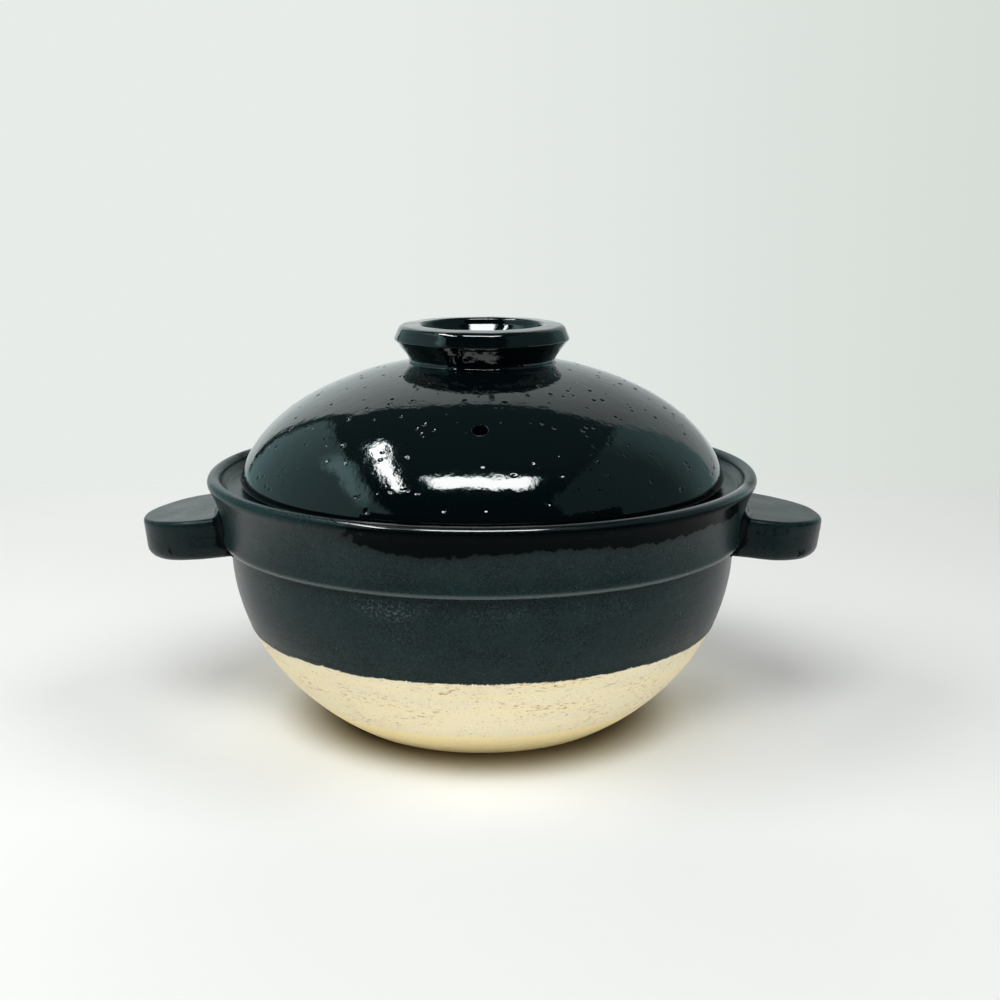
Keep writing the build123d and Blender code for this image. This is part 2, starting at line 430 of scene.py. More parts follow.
def add_object(name, mesh, material=None):
    """Makes an object of a finished mesh."""
    data = bpy.data.meshes.new(name)
    mesh.to_mesh(data)
    mesh.free()
    if material:
        data.materials.append(material)
    made = bpy.data.objects.new(name, data)
    bpy.context.scene.collection.objects.link(made)
    return made


def make_piece(name, mesh, body, node, material):
    """Makes a piece of a finished mesh, in place of its CAD node."""
    made = add_object(name, mesh, material)
    made.data.shade_smooth()
    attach(made, body)
    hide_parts(node)
    return made


def bore(piece, mesh):
    """Cuts a shape out of a piece, whose glaze is thin at the cut's edge."""
    cutter = add_object("bore", mesh)
    cut = piece.modifiers.new("bore", "BOOLEAN")
    cut.operation = "DIFFERENCE"
    cut.solver = "EXACT"
    cut.object = cutter
    graph = bpy.context.evaluated_depsgraph_get()
    result = bpy.data.meshes.new_from_object(piece.evaluated_get(graph))
    piece.modifiers.clear()
    before = piece.data
    piece.data = result
    result.name = piece.name
    for height in result.attributes[GLAZE_HEIGHT].data:
        height.value = height.value or THIN_GLAZE
    bpy.data.objects.remove(cutter)
    bpy.data.meshes.remove(before)
    result.shade_smooth()


def trumpet(place, radius, rounding, above, below):
    """A round bore whose mouth opens with a rounded edge, set along the z axis of a place."""
    outline = Outline(0, -below)
    outline.line(radius, -below)
    outline.line(radius, -rounding)
    outline.arc(radius + rounding, -rounding, -pi / 2, 8)
    outline.line(radius + rounding, above)
    outline.line(0, above)
    mesh = outline.turned(steps=48, row=2 * MM)
    set_glaze(mesh, lambda point: THIN_GLAZE if -0.9 * rounding < point.z < 0 else FULL_GLAZE)
    bmesh.ops.transform(mesh, matrix=place, verts=mesh.verts)
    return mesh


def flare_bend(pot):
    """Radius of the flare's arc, which ends tangent to the lip's circle."""
    lip = pot.lip / 2
    rise = pot.height - lip - pot.flare_start
    lean = pot.overhang - lip
    return (rise**2 + lean**2 - lip**2) / (2 * (lip + lean))


def collar_radius_at(pot, height):
    """Outer radius of the bowl, the collar and the flare under the lip at a height."""
    collar_foot = pot.ridge + pot.collar_step
    if height < pot.ridge:
        return pot.bowl
    if height < collar_foot:
        return pot.bowl + sqrt(pot.collar_step**2 - (collar_foot - height) ** 2)
    if height < pot.flare_start:
        return pot.collar
    bend = flare_bend(pot)
    return pot.collar + bend - sqrt(bend**2 - (min(height, pot.height) - pot.flare_start) ** 2)


def throw_pot(pot):
    """The pot's whole skin, outside and inside."""
    bowl, collar, ridge = pot.bowl, pot.collar, pot.ridge
    widest = ridge - pot.ridge_shadow
    drop = widest / sqrt(1 - (pot.base_radius / bowl) ** 2)
    lip = pot.lip / 2
    bend = flare_bend(pot)
    flare_turn = asin((pot.height - lip - pot.flare_start) / (bend + lip))

    base_turn = inset_turn(bowl, drop, pot.base_round, widest - pot.base_round)
    base_lean = ellipse_lean(bowl, drop, base_turn)
    base_edge = bowl * cos(base_turn) - pot.base_round * cos(base_lean)
    line_low, line_high = (
        asin((widest - pot.glaze_line + side * FINE_BAND) / drop) for side in (1, -1)
    )

    outline = Outline(0, 0)
    outline.line(base_edge, 0)
    outline.arc(base_edge, pot.base_round, pi / 2 - base_lean, 6)
    outline.arc(0, widest, base_turn - line_low, 26, drop / bowl)
    outline.arc(0, widest, line_low - line_high, 20, drop / bowl)
    outline.arc(0, widest, line_high, 30, drop / bowl)
    outline.line(bowl, ridge, pot.crease_round)
    outline.arc(bowl, ridge + pot.collar_step, pi / 2, 12)
    outline.line(collar, pot.flare_start)
    outline.arc(collar + bend, pot.flare_start, -flare_turn, 22)
    outline.arc(pot.rim_radius - lip, pot.height - lip, pi + flare_turn, 26)

    ledge = pot.height - pot.gallery_depth
    seat = ledge - pot.seat_depth
    shelf = pot.rim_radius - pot.lip - pot.gallery_slope
    bore_radius = shelf - pot.gallery_width
    cavity = bowl - pot.wall
    cavity_drop = drop - pot.wall
    seat_turn = asin((seat - widest) / cavity_drop)
    floor_turn = inset_turn(
        cavity, cavity_drop, pot.floor_round, widest - pot.floor - pot.floor_round
    )
    floor_lean = ellipse_lean(cavity, cavity_drop, floor_turn)
    floor_edge = cavity * cos(floor_turn) - pot.floor_round * cos(floor_lean)
    outline.line(shelf, ledge, pot.gallery_round)
    outline.line(bore_radius, ledge, pot.seat_round)
    outline.line(bore_radius, seat, pot.crease_round)
    outline.line(cavity * cos(seat_turn), seat, pot.seat_round)
    outline.arc(0, widest, -seat_turn - floor_turn, 34, cavity_drop / cavity)
    outline.arc(floor_edge, pot.floor + pot.floor_round, floor_lean - pi / 2, 10)
    outline.line(0, pot.floor)
    return outline.turned(pot.steps, row=2.2 * MM)


def set_glaze(mesh, height_at=lambda point: FULL_GLAZE, pool_and_shade_at=lambda point: 0.0):
    """Writes how far a point is over the glaze's edge, and from 0 to 1 how much glaze has gathered
    there, which also places painted shade.
    """
    heights = mesh.verts.layers.float.new(GLAZE_HEIGHT)
    pool_and_shade_layer = mesh.verts.layers.float.new(GLAZE_POOL_AND_SHADE)
    for vert in mesh.verts:
        vert[heights] = height_at(vert.co)
        vert[pool_and_shade_layer] = pool_and_shade_at(vert.co)


class Value:
    """A node's output, on which Python's arithmetic adds Math nodes."""

    def __init__(self, nodes, socket):
        self.nodes = nodes
        self.socket = socket

    def math(self, operation, *values):
        """A Math node on the values."""
        return self.nodes.add("ShaderNodeMath", {"operation": operation}, dict(enumerate(values)))

    def __add__(self, other):
        return self.math("ADD", self, other)

    def __sub__(self, other):
        return self.math("SUBTRACT", self, other)

    def __rsub__(self, other):
        return self.math("SUBTRACT", other, self)

    def __mul__(self, other):
        return self.math("MULTIPLY", self, other)

    def __truediv__(self, other):
        return self.math("DIVIDE", self, other)

    def __rtruediv__(self, other):
        return self.math("DIVIDE", other, self)

    def __abs__(self):
        return self.math("ABSOLUTE", self)

    def __neg__(self):
        return self.math("MULTIPLY", self, -1.0)

    __radd__ = __add__
    __rmul__ = __mul__

    def larger(self, other):
        """The larger of the two."""
        return self.math("MAXIMUM", self, other)


class Nodes:
    """The node tree of a material or of the world."""

    def __init__(self, owner):
        owner.use_nodes = True
        self.owner = owner
        self.tree = owner.node_tree
        self.tree.nodes.clear()

    def add(self, kind, settings=None, inputs=None, output=0):
        """Adds a node, sets its settings and then its sockets, and gives one of its outputs."""
        made = self.tree.nodes.new(kind)
        for name, value in (settings or {}).items():
            setattr(made, name, value)
        for name, value in (inputs or {}).items():
            if isinstance(value, Value):
                self.tree.links.new(value.socket, made.inputs[name])
            else:
                made.inputs[name].default_value = value
        return Value(self, made.outputs[output]) if made.outputs else made

    def finish(self, kind, surface):
        """Adds the output node and gives the material or the world."""
        self.add(kind, None, {"Surface": surface})
        return self.owner

    def place(self):
        """Where a point lies in its object."""
        return self.add("ShaderNodeTexCoord", None, None, "Object")

    def axes(self, place):
        """The x, y and z of a place."""
        first = self.add("ShaderNodeSeparateXYZ", None, {0: place})
        return [Value(self, output) for output in first.socket.node.outputs]

    def attribute(self, name):
        """A number that is written on the mesh."""
        return self.add("ShaderNodeAttribute", {"attribute_name": name}, None, 2)

    def ray(self, kind):
        """1 for one kind of ray and 0 for the others."""
        return self.add("ShaderNodeLightPath", None, None, kind)

    def between(self, value, low, high):
        """0 at low, 1 at high and smooth between them."""
        settings = {"interpolation_type": "SMOOTHSTEP"}
        return self.add("ShaderNodeMapRange", settings, {0: value, 1: low, 2: high})

    def over(self, value, soft, level=0.0):
        """0 below a level and 1 above it, with a soft edge."""
        return self.between(value, level - soft, level + soft)

    def inside(self, value, low, high, soft):
        """1 from low to high, with soft edges."""
        return self.over(value, soft, low) * (1 - self.over(value, soft, high))

    def mix(self, factor, one, other):
        """One colour or the other."""
        settings = {"data_type": "RGBA"}
        return self.add("ShaderNodeMix", settings, {0: factor, 6: one, 7: other}, 2)

    def blend(self, factor, one, other):
        """One number or the other."""
        return self.add("ShaderNodeMix", {"data_type": "FLOAT"}, {0: factor, 2: one, 3: other})

    def grain(self, place, size, detail=2.0, roughness=0.5, squeeze=None):
        """Noise whose features are about the given size in metres over the squeeze of each axis."""
        if squeeze:
            squeezed = {0: place, 3: squeeze}
            place = self.add("ShaderNodeMapping", {"vector_type": "POINT"}, squeezed)
        return self.add(
            "ShaderNodeTexNoise",
            {"noise_dimensions": "3D"},
            {"Vector": place, "Scale": 1 / size, "Detail": detail, "Roughness": roughness},
        )

    def pits(self, place, cell, radius, depth):
        """Relief of small round pits, one in most cells of a grid."""
        pattern = self.add(
            "ShaderNodeTexVoronoi",
            {"voronoi_dimensions": "3D", "feature": "F1"},
            {"Vector": place, "Scale": 1 / cell, "Randomness": 1.0},
        )
        return self.between(pattern, 0.0, radius / cell) * depth - depth

    def surface(self, settings, height):
        """A Principled shader whose relief is a height in metres."""
        relief = {"Strength": 1.0, "Distance": 1.0, "Height": height}
        bump = self.add("ShaderNodeBump", None, relief)
        return self.add("ShaderNodeBsdfPrincipled", None, {**settings, "Normal": bump})


def rgb(colour, factor=1.0):
    """A colour for a socket, made that much brighter."""
    return (*(factor * part for part in colour), 1.0)


def swing(grain, depth):
    """Noise turned into a change that goes both ways from nothing."""
    return (grain - 0.5) * depth


def gloss_glaze(finish):
    """Gloss black glaze with pinholes and an orange-peel skin, over a bare foot."""
    nodes = Nodes(bpy.data.materials.new("gloss_black_glaze"))
    place = nodes.place()
    pinholes = nodes.pits(place, cell=6.5 * MM, radius=0.7 * MM, depth=0.14 * MM)
    skin = swing(nodes.grain(place, 5.5 * MM, 3, 0.55), 0.12 * MM)
    ripple = swing(nodes.grain(place, 1.6 * MM), 0.01 * MM)
    drift = nodes.grain(place, 30 * MM, 3)
    colour = nodes.mix(drift, rgb(finish.lid_glaze), rgb(finish.lid_glaze, 1.5))
    line = nodes.attribute(GLAZE_HEIGHT)
    thin = nodes.inside(line, 0.6, 1.4, 0.3)
    colour = nodes.mix(thin, colour, rgb(finish.glaze_bloom_and_highlight))
    glazed = nodes.over(line + swing(nodes.grain(place, 2 * MM, 3), 0.8), EDGE_SOFTNESS)
    sand = swing(nodes.grain(place, 0.9 * MM, 3, 0.75), 0.3 * MM)
    settings = {
        "Base Color": nodes.mix(glazed, rgb(finish.clay), colour),
        "Roughness": nodes.blend(glazed, finish.clay_roughness, finish.lid_roughness),
        "IOR": 1.5,
    }
    surface = nodes.surface(settings, nodes.blend(glazed, sand, pinholes + skin + ripple))
    return nodes.finish("ShaderNodeOutputMaterial", surface)


def satin_glaze(finish, pot):
    """Satin charcoal glaze that ends in a ragged line over bare clay."""
    nodes = Nodes(bpy.data.materials.new("satin_glaze_over_clay"))
    between, inside, grain = nodes.between, nodes.inside, nodes.grain
    place = nodes.place()
    across, _, height = nodes.axes(place)
    ragged = nodes.attribute(GLAZE_HEIGHT) + swing(grain(place, 4 * MM, 5, 0.85), 6.0)
    glazed = nodes.over(ragged, EDGE_SOFTNESS)

    # The satin glaze is mottled, and paler where it is thin or has crystals. The pale line on the
    # ridge's edge and the pale streaks along the lip in front and behind are partly thin glaze and
    # partly a painted highlight.
    speckle = grain(place, 0.7 * MM, 3, 0.65)
    fleck = grain(place, 2.6 * MM, 3, 0.6)
    cloud = grain(place, 15 * MM, 4, 0.55)
    mottle = (
        0.6 * between(speckle, 0.36, 0.66)
        + 0.2 * between(fleck, 0.35, 0.68)
        + 0.2 * between(cloud, 0.36, 0.66)
    )
    body = nodes.mix(mottle, rgb(finish.pot_glaze, 0.4), rgb(finish.pot_glaze, 1.6))
    under_ridge = inside(height, pot.ridge - 9 * MM, pot.ridge - 1.5 * MM, 2 * MM)
    crystals = between(grain(place, 1.0 * MM, 3, 0.7), 0.5, 0.66)
    patches = between(grain(place, 22 * MM, 2), 0.4, 0.62)
    patches = patches * (0.3 + 0.7 * inside(across, -66 * MM, -20 * MM, 16 * MM))
    lip_highlight_streaks = between(grain(place, 24 * MM, 4), 0.36, 0.56)
    thin_edge_and_highlight = inside(height, pot.ridge + 0.9 * MM, pot.ridge + 2.6 * MM, 0.7 * MM)
    thin_lip_and_highlight = inside(height, pot.height - 1.9 * MM, pot.height - 0.9 * MM, 0.35 * MM)
    pool_and_shade = nodes.attribute(GLAZE_POOL_AND_SHADE)
    thick_and_dark = between(pool_and_shade, 0.4, 0.8)
    bloom_and_highlight = crystals * patches * (0.12 + 0.8 * under_ridge) + 0.75 * thin_edge_and_highlight
    bloom_and_highlight = bloom_and_highlight + 0.22 * between(speckle, 0.6, 0.7)
    bloom_and_highlight = bloom_and_highlight * (1 - between(pool_and_shade, 0.1, 0.25)) + thick_and_dark * thin_lip_and_highlight * lip_highlight_streaks
    body = nodes.mix(bloom_and_highlight, body, rgb(finish.glaze_bloom_and_highlight))

    # Where it ran thickly it is black and wet, under a lip with a gloss of its own. This black is
    # partly pooled glaze and partly painted: a painted dark reflection under the lip in front and
    # behind, and painted shade in the crease over the ridge and on the lugs.
    gloss_lip = thick_and_dark * between(height, pot.height - 2.6 * MM, pot.height - 1.9 * MM)
    runs = grain(place, 5 * MM, 5, 0.65, (1, 1, 0.6))
    wet_pool_and_shade = between(pool_and_shade + swing(runs, 1.3), 0.44, 0.56) * (1 - gloss_lip)
    bead = inside(ragged, -0.2, 0.7, 0.25)
    for amount in (0.6 * bead, pool_and_shade * 1.4):
        body = nodes.mix(amount, body, rgb(finish.pool_and_shade_glaze))

    # The clay is sandy, scraped round by a tool and toasted towards the base.
    grooves = grain(place, 1.5 * MM, 4, 0.65, (0.06, 0.06, 1.0))
    throwing = grain(place, 5.5 * MM, 2, 0.5, (0.02, 0.02, 1.0))
    sand = grain(place, 0.9 * MM, 3, 0.75)
    drags = between(grain(place, 0.7 * MM, 3, 0.6, (0.2, 0.2, 1.0)), 0.565, 0.66)
    scraped = between(grain(place, 8 * MM, 2, 0.5, (0.4, 0.4, 1.0)), 0.42, 0.62)
    holes = between(grain(place, 1.1 * MM, 2, 0.6), 0.65, 0.72)
    lower = 1 - between(height + swing(cloud, 3 * MM), 13.6 * MM, 15.4 * MM)
    scars = (drags * scraped).larger(holes) * (1 - 0.85 * lower)
    toast = between(grain(place, 6 * MM, 4, 0.6, (0.05, 0.05, 1.0)), 0.42, 0.7)
    clay = rgb(finish.clay)
    for amount, colour in (
        ((0.45 * toast).larger(lower * 0.9), finish.clay_toast),
        (0.25 * (1 - between(grooves, 0.35, 0.62)), finish.clay_toast),
        (0.22 * between(sand, 0.52, 0.7), finish.clay_scar),
        (scars * 0.85, finish.clay_scar),
    ):
        clay = nodes.mix(amount, clay, rgb(colour))

    dimples = nodes.pits(place, cell=11 * MM, radius=0.9 * MM, depth=0.3 * MM)
    bands = grain(place, 9 * MM, 2, 0.5, (0.25, 0.25, 3.0))
    relief_glaze = swing(speckle, 0.05 * MM) + swing(bands, 0.12 * MM) + dimples
    relief_clay = (
        swing(grooves, 0.6 * MM)
        + swing(throwing, 0.5 * MM)
        + swing(sand, 0.42 * MM)
        - scars * (0.14 * MM)
    )
    satin = finish.pot_roughness + swing(cloud, 0.16) + swing(speckle, 0.12)
    settings = {
        "Base Color": nodes.mix(glazed, clay, body),
        "Roughness": nodes.blend(glazed, finish.clay_roughness, satin),
        "IOR": 1.24,
        "Coat Weight": gloss_lip,
        "Coat Roughness": 0.06,
    }
    dry = nodes.surface(settings, nodes.blend(glazed, relief_clay, relief_glaze))
    settings = {
        "Base Color": rgb(finish.pool_and_shade_glaze),
        "Roughness": finish.pool_roughness,
        "IOR": 1.1,
    }
    wet = nodes.surface(settings, dimples + swing(fleck, 0.08 * MM))
    both = nodes.add("ShaderNodeMixShader", None, {0: wet_pool_and_shade, 1: dry, 2: wet})
    return nodes.finish("ShaderNodeOutputMaterial", both)


class CLAYPOT_OT_pot(bpy.types.Operator):
    """Throws the pot, with its ridge, flared rim, lid ledges and glaze line"""

    bl_idname = "clay_pot.pot"
    bl_label = "Pot"

    def execute(self, context):
        pot = context.scene.clay_pot_bowl
        mesh = throw_pot(pot)
        ridge = pot.ridge
        middle = pot.bowl - pot.wall / 2
        base = 4 * MM
        under_lip = pot.height - pot.lip
        # Where the glaze gathers most, and where the painted dark reflection under the lip is
        # widest.
        thickest_and_darkest = Vector((0.4, -0.92, 0))

        def is_outside(point):
            """Whether a point is on the outer skin, under the lip."""
            if not base <= point.z < under_lip:
                return point.z < base
            drop = (ridge - point.z) / (ridge + 9 * MM)
            return hypot(point.x, point.y) > middle * sqrt(max(1 - drop**2, 0))

        def over_line(point):
            if not is_outside(point):
                return FULL_GLAZE
            level = Vector((point.x, point.y, 0)).normalized()
            drift = noise.noise(level * 3.0) + 0.5 * noise.noise(level * 11.0)
            return (point.z - pot.glaze_line - drift * pot.glaze_wander) / MM

        def pool_and_shade(point):
            """How much glaze has gathered: under the lip in front and behind, partly as a painted
            dark reflection, and in the crease over the ridge, partly as painted shade.
            """
            around = Vector((point.x, point.y, 0)).normalized()
            thick_and_dark = ease(abs(around.dot(thickest_and_darkest)), 0.45, 0.85)
            band = (0.3 + 5.2 * thick_and_dark + 2.4 * noise.noise(around * 2.3)) * MM
            low = under_lip - band
            lip = thick_and_dark * ease(point.z, low - 3.5 * MM, low + 3.5 * MM)
            crease = 0.4 * exp(-(((point.z - ridge - 0.2 * MM) / (0.9 * MM)) ** 2))
            return max(lip, crease if is_outside(point) else 0.0)

        def is_over_base(point):
            return point.z > 1 * MM and is_outside(point)

        waver(mesh, pot.hand_wobble, 34 * MM, 2.0, wanted=is_over_base)
        set_glaze(mesh, over_line, pool_and_shade)
        layer = mesh.verts.layers.float[GLAZE_HEIGHT]

        def glaze_edge(vert):
            """A step up from the bare clay, with a bead over it."""
            bare = 1 - ease(vert[layer], -0.45, 0.25)
            bead = 0.12 * MM * exp(-((vert[layer] - 1.0) ** 2))
            return vert.normal * (bead - bare * pot.glaze_thickness)

        displace(mesh, glaze_edge, [vert for vert in mesh.verts if vert.co.z > 0.5 * MM])
        material = satin_glaze(context.scene.clay_pot_finish, pot)
        make_piece("thrown_pot", mesh, "pot", "pot_body", material)
        return {"FINISHED"}


class CLAYPOT_OT_lugs(bpy.types.Operator):
    """Shapes the two half-moon lugs and smooths their roots into the collar"""

    bl_idname = "clay_pot.lugs"
    bl_label = "Lugs"

    def execute(self, context):
        pot = context.scene.clay_pot_bowl
        lug = context.scene.clay_pot_lugs
        material = bpy.data.materials["satin_glaze_over_clay"]

        # Painted shade on the lugs, given as pooled glaze: a little over the whole lug and most at
        # the root.
        def pool_and_shade(point):
            gap = hypot(point.x, point.y) - collar_radius_at(pot, point.z)
            return 0.3 + 0.7 * (1 - ease(gap, 0.4 * lug.root_high, 1.3 * lug.root_high))

        for side, node in ((1, "right_handle"), (-1, "left_handle")):
            mesh = self.shape(pot, lug)
            waver(mesh, depth=0.25 * MM, wavelength=14 * MM, shift=5.0 * side)
            if side < 0:
                bmesh.ops.scale(mesh, vec=(-1, 1, 1), verts=mesh.verts)
                settle(mesh)
            set_glaze(mesh, pool_and_shade_at=pool_and_shade)
            make_piece(node + "_lug", mesh, "pot", node, material)
        return {"FINISHED"}

    def shape(self, pot, lug):
        """The right lug."""
        mesh = self.half_disc(lug)
        reach = pot.collar + lug.projection
        centre = reach - lug.radius * cos(lug.droop) - lug.thickness / 2 * sin(lug.droop)
        place = Matrix.Translation((centre, 0, pot.height - lug.drop))
        place = place @ Matrix.Rotation(lug.droop, 4, "Y")
        bmesh.ops.transform(mesh, matrix=place, verts=mesh.verts)
        outwards = Vector((cos(lug.droop), 0, -sin(lug.droop)))

        def swell(vert):
            """Widens the lug towards the collar, and keeps its distance from it."""
            high = ease(vert.co.z, 79.5 * MM, 92 * MM)
            root = lug.root_low + (lug.root_high - lug.root_low) * high
            gap = hypot(vert.co.x, vert.co.y) - collar_radius_at(pot, vert.co.z)
            if gap >= root:
                return Vector()
            side = (vert.normal - outwards * vert.normal.dot(outwards)).normalized()
            moved = vert.co + side * root * (1 - max(gap, 0) / root) ** 1.5
            moved.x -= hypot(moved.x, moved.y) - collar_radius_at(pot, moved.z) - gap
            return moved - vert.co

        displace(mesh, swell)
        return mesh

    def half_disc(self, lug):
        """A half disc with a rounded edge, drawn out straight towards the pot."""
        half = lug.thickness / 2
        outline = Outline(0, -half)
        outline.line(lug.radius, -half, lug.under_round)
        outline.line(lug.radius, half, lug.top_round)
        outline.line(0, half)
        mesh = outline.profile(1.2 * MM)
        quarter = Matrix.Rotation(-pi / 2, 3, "Z")
        bmesh.ops.rotate(mesh, cent=(0, 0, 0), matrix=quarter, verts=mesh.verts)
        spin(mesh, pi, steps=72, whole=False)
        merge_doubles(mesh)
        edges = [edge for edge in mesh.edges if edge.is_boundary]
        rows, row = 18, 0.9 * MM
        for _ in range(rows):
            grown = bmesh.ops.extrude_edge_only(mesh, edges=edges)["geom"]
            verts = {item for item in grown if isinstance(item, bmesh.types.BMVert)}
            edges = [item for item in grown if isinstance(item, bmesh.types.BMEdge)]
            edges = [edge for edge in edges if verts.issuperset(edge.verts)]
            bmesh.ops.translate(mesh, vec=(-row, 0, 0), verts=list(verts))
        bmesh.ops.edgeloop_fill(mesh, edges=edges)
        settle(mesh)
        return mesh


class Dome:
    """The outer skin of the outer lid: half an ellipse, turned round the axis."""

    def __init__(self, scene):
        pot = scene.clay_pot_bowl
        lid = scene.clay_pot_lid
        self.width = pot.rim_radius - pot.lip - pot.gallery_slope - lid.side_play
        self.centre = lid.foot_height - lid.sink
        self.height = lid.rise + lid.sink

    def top(self, radius):
        """Its height at a radius."""
        return self.centre + self.height * sqrt(1 - (radius / self.width) ** 2)


class CLAYPOT_OT_outer_lid(bpy.types.Operator):
    """Throws the domed outer lid, pits its glaze and bores its steam hole"""

    bl_idname = "clay_pot.outer_lid"
    bl_label = "Outer Lid"

    def execute(self, context):
        lid = context.scene.clay_pot_lid
        dome = Dome(context.scene)
        width, height, centre = dome.width, dome.height, dome.centre
        foot_turn = inset_turn(width, height, lid.edge_round, lid.sink + lid.edge_round)
        foot_lean = ellipse_lean(width, height, foot_turn)
        edge = width * cos(foot_turn) - lid.edge_round * cos(foot_lean)
        hollow = width - lid.wall
        hollow_height = height - lid.wall
        hollow_turn = asin(lid.sink / hollow_height)
        outline = Outline(0, centre + height)
        outline.arc(0, centre, foot_turn - pi / 2, 90, height / width)
        outline.arc(edge, lid.foot_height + lid.edge_round, -foot_lean - pi / 2, 10)
        outline.line(hollow * cos(hollow_turn), lid.foot_height, lid.foot_round)
        outline.arc(0, centre, pi / 2 - hollow_turn, 24, hollow_height / hollow)
        mesh = outline.turned(lid.steps, row=3.5 * MM)

        hole_top = dome.top(lid.hole_distance)
        hole = Vector((0, -lid.hole_distance, hole_top))
        pits = self.scatter(lid, dome, hole)
        tree = kdtree.KDTree(len(pits))
        for index, (spot, _, _) in enumerate(pits):
            tree.insert(spot, index)
        tree.balance()
        for reach in (2.2, 1.5):
            self.refine(mesh, tree, pits, reach)
        self.press(mesh, tree, pits, lid, dome)

        def over_line(point):
            if hypot(point.x, point.y) > edge + lid.edge_round:
                return FULL_GLAZE
            return (point.z - lid.foot_height - lid.bare_foot) / MM

        set_glaze(mesh, over_line)
        material = gloss_glaze(context.scene.clay_pot_finish)
        made = make_piece("domed_lid", mesh, "outer_lid", "outer_lid", material)
        slope = Vector((0, -lid.hole_distance / width**2, (hole_top - centre) / height**2))
        place = Matrix.Translation(hole) @ slope.to_track_quat("Z", "Y").to_matrix().to_4x4()
        bore(made, trumpet(place, lid.hole_radius, lid.hole_round, above=6 * MM, below=14 * MM))
        return {"FINISHED"}

    def scatter(self, lid, dome, hole):
        """Places, radii and depths of the pits, spread evenly over the dome."""
        draw = random.Random(19)
        knob_inside, knob_outside = 17 * MM, 36 * MM
        lowest = radians(80)
        off_hole = 7 * MM
        pits = []
        while len(pits) < lid.pits:
            turn = draw.uniform(0, pi / 2)
            around = draw.uniform(0, 2 * pi)
            size = draw.random() ** 1.6
            across, down = dome.width * cos(turn), dome.height * sin(turn)
            if draw.random() > hypot(across, down) * sin(turn) / dome.width:
                continue
            radius = dome.width * sin(turn)
            if knob_inside < radius < knob_outside or turn > lowest:
                continue
            rise = dome.height * cos(turn)
            spot = Vector((radius * cos(around), radius * sin(around), dome.centre + rise))
            pit_radius = lid.pit_radius * (0.55 + 0.45 * size)
            if (spot - hole).length < off_hole:
                continue
            if any((spot - other).length < 0.9 * (pit_radius + reach) for other, reach, _ in pits):
                continue
            pits.append((spot, pit_radius, lid.pit_depth * (0.5 + 0.5 * size)))
        return pits

    def refine(self, mesh, tree, pits, reach):
        """Divides the faces round the pits, as far out as that many of a pit's radii."""
        edges = set()
        for face in mesh.faces:
            _, index, distance = tree.find(face.calc_center_median())
            if distance < reach * pits[index][1]:
                edges.update(face.edges)
        bmesh.ops.subdivide_edges(mesh, edges=list(edges), cuts=1, use_grid_fill=True)

    def press(self, mesh, tree, pits, lid, dome):
        """Trues the divided skin, then gives it slow waves and presses the pits into it."""
        near = [vert for vert in mesh.verts if tree.find(vert.co)[2] < 4.5 * MM]
        foot = lid.foot_height + lid.edge_round + 1 * MM
        for vert in near:
            out = Vector((vert.co.x, vert.co.y, vert.co.z - dome.centre))
            size = sqrt((hypot(out.x, out.y) / dome.width) ** 2 + (out.z / dome.height) ** 2)
            if vert.co.z > foot and size > 0.96:
                vert.co = Vector((0, 0, dome.centre)) + out / size
        top = lid.foot_height + 2 * MM
        waver(mesh, lid.waviness, 23 * MM, 8.0, wanted=lambda point: point.z > top)

        def push(vert):
            """A hollow inside each pit, with a low rim round it."""
            lift = 0.0
            for _, index, distance in tree.find_range(vert.co, 3.5 * MM):
                _, radius, depth = pits[index]
                part = distance / radius
                if part < 1:
                    lift -= depth * (1 - part * part) ** 1.6
                lift += 0.11 * depth * exp(-(((part - 1.12) / 0.28) ** 2))
            return vert.normal * lift

        displace(mesh, push, near)


class CLAYPOT_OT_ring_knob(bpy.types.Operator):
    """Throws the flaring ring knob on the crown of the outer lid"""

    bl_idname = "clay_pot.ring_knob"
    bl_label = "Ring Knob"

    def execute(self, context):
        knob = context.scene.clay_pot_knob
        dome = Dome(context.scene)
        neck = knob.rim_radius - knob.neck_inset
        under = knob.rim_radius - knob.under_inset
        top_edge = knob.rim_radius - knob.top_inset
        mouth = top_edge - knob.top_width
        well = mouth - knob.well_taper
        bevel = knob.top - knob.rim_drop
        foot = bevel - knob.bevel_height
        lip = knob.top - knob.well_lip
        inner_toe = well - 3.4 * MM
        outer_toe = neck + 3.4 * MM
        bury = 0.35 * MM

        def on_dome(radius, over, rounding=0.0):
            outline.line(radius, dome.top(radius) + over, rounding)

        outline = Outline(inner_toe, dome.top(inner_toe) - 2 * bury)
        first = outline.tip
        on_dome(outer_toe, -2 * bury)
        on_dome(outer_toe, -bury)
        on_dome(neck, bury, knob.root_round)
        outline.line(under, foot, knob.bevel_round)
        outline.line(knob.rim_radius, bevel, knob.bevel_round)
        outline.line(top_edge, knob.top - knob.top_fall, knob.top_round)
        outline.line(mouth, knob.top - 0.1 * MM, knob.mouth_round)
        outline.line(mouth - 0.7 * MM, lip, 2 * MM)
        outline.line(well + 0.3 * MM, lip - knob.well_slope, 3 * MM)
        on_dome(well, bury, knob.root_round)
        on_dome(inner_toe, -bury)
        outline.close(first)
        mesh = outline.turned(steps=256, row=0.9 * MM)
        waver(mesh, depth=0.16 * MM, wavelength=11 * MM, shift=3.0)
        waver(mesh, depth=0.04 * MM, wavelength=3.2 * MM, shift=9.0)
        low = foot - 0.5 * MM
        waver(mesh, 0.14 * MM, 2.4 * MM, 5.0, wanted=lambda point: point.z < low)
        set_glaze(mesh)
        material = bpy.data.materials["gloss_black_glaze"]
        make_piece("ring_knob", mesh, "outer_lid", "outer_lid_knob", material)
        return {"FINISHED"}


